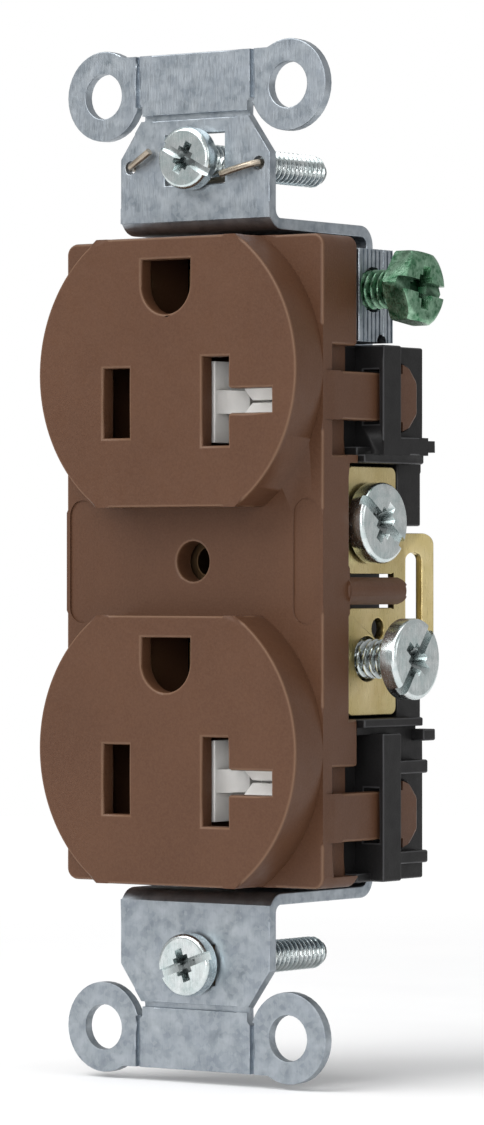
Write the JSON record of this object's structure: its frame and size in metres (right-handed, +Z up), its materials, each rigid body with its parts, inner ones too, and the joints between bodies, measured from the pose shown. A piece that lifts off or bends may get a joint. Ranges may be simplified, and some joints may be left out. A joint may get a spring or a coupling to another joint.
{
  "type": "duplex wall outlet",
  "caption": "Duplex wall receptacle with T-slot faces, a wrap-around steel strap, side screw terminals and a hex ground screw.",
  "frame": {"origin": "centre of the device, in the plane of the backs of the strap's ears, which seats on the wall box and wall", "axes": "+X right seen from the front, +Y into the wall, +Z up"},
  "size_m": [0.0407, 0.027, 0.107],
  "materials": {
    "brown_plastic": "satin moulded brown thermoset",
    "black_plastic": "dull moulded near-black nylon",
    "galvanised_steel": "dull galvanised sheet with fine mottling",
    "brass": "rolled sheet brass",
    "tinned_brass": "bright tinned strip",
    "zinc_steel": "bright zinc plating",
    "green_zinc": "green dyed zinc plating",
    "spring_wire": "drawn bronze wire",
    "fibre": "pressed fibre sheet"
  },
  "bodies": {
    "device": {"front_housing": "brown_plastic", "rear_base": "black_plastic", "mounting_strap": "galvanised_steel", "neutral_terminal_plates": "brass", "hot_terminal_plates": "brass", "cover_screw_bushing": "brass", "lower_screw_washer": "fibre", "grounding_wire": "spring_wire", "upper_neutral_contact": "tinned_brass", "upper_hot_contact": "tinned_brass", "upper_ground_contact": "brass", "upper_ground_rivet": "galvanised_steel", "lower_neutral_contact": "tinned_brass", "lower_hot_contact": "tinned_brass", "lower_ground_contact": "brass", "lower_ground_rivet": "galvanised_steel"},
    "upper_neutral_screw": {"upper_neutral_screw": "zinc_steel"},
    "lower_neutral_screw": {"lower_neutral_screw": "zinc_steel"},
    "upper_hot_screw": {"upper_hot_screw": "brass"},
    "lower_hot_screw": {"lower_hot_screw": "brass"},
    "ground_screw": {"ground_screw": "green_zinc"},
    "upper_mounting_screw": {"upper_mounting_screw": "zinc_steel"},
    "lower_mounting_screw": {"lower_mounting_screw": "zinc_steel"}
  },
  "joints": [
    {"name": "upper_neutral_screw_travel", "type": "slide", "parent": "device", "child": "upper_neutral_screw", "axis": [1, 0, 0], "range_m": [0, 0.004]},
    {"name": "lower_neutral_screw_travel", "type": "slide", "parent": "device", "child": "lower_neutral_screw", "axis": [1, 0, 0], "range_m": [-0.004, 0]},
    {"name": "upper_hot_screw_travel", "type": "slide", "parent": "device", "child": "upper_hot_screw", "axis": [-1, 0, 0], "range_m": [0, 0.004]},
    {"name": "lower_hot_screw_travel", "type": "slide", "parent": "device", "child": "lower_hot_screw", "axis": [-1, 0, 0], "range_m": [0, 0.004]},
    {"name": "ground_screw_travel", "type": "slide", "parent": "device", "child": "ground_screw", "axis": [1, 0, 0], "range_m": [-0.0035, 0]},
    {"name": "upper_mounting_screw_travel", "type": "slide", "parent": "device", "child": "upper_mounting_screw", "axis": [0, -1, 0], "range_m": [0, 0.004]},
    {"name": "lower_mounting_screw_travel", "type": "slide", "parent": "device", "child": "lower_mounting_screw", "axis": [0, -1, 0], "range_m": [0, 0.004]}
  ]
}
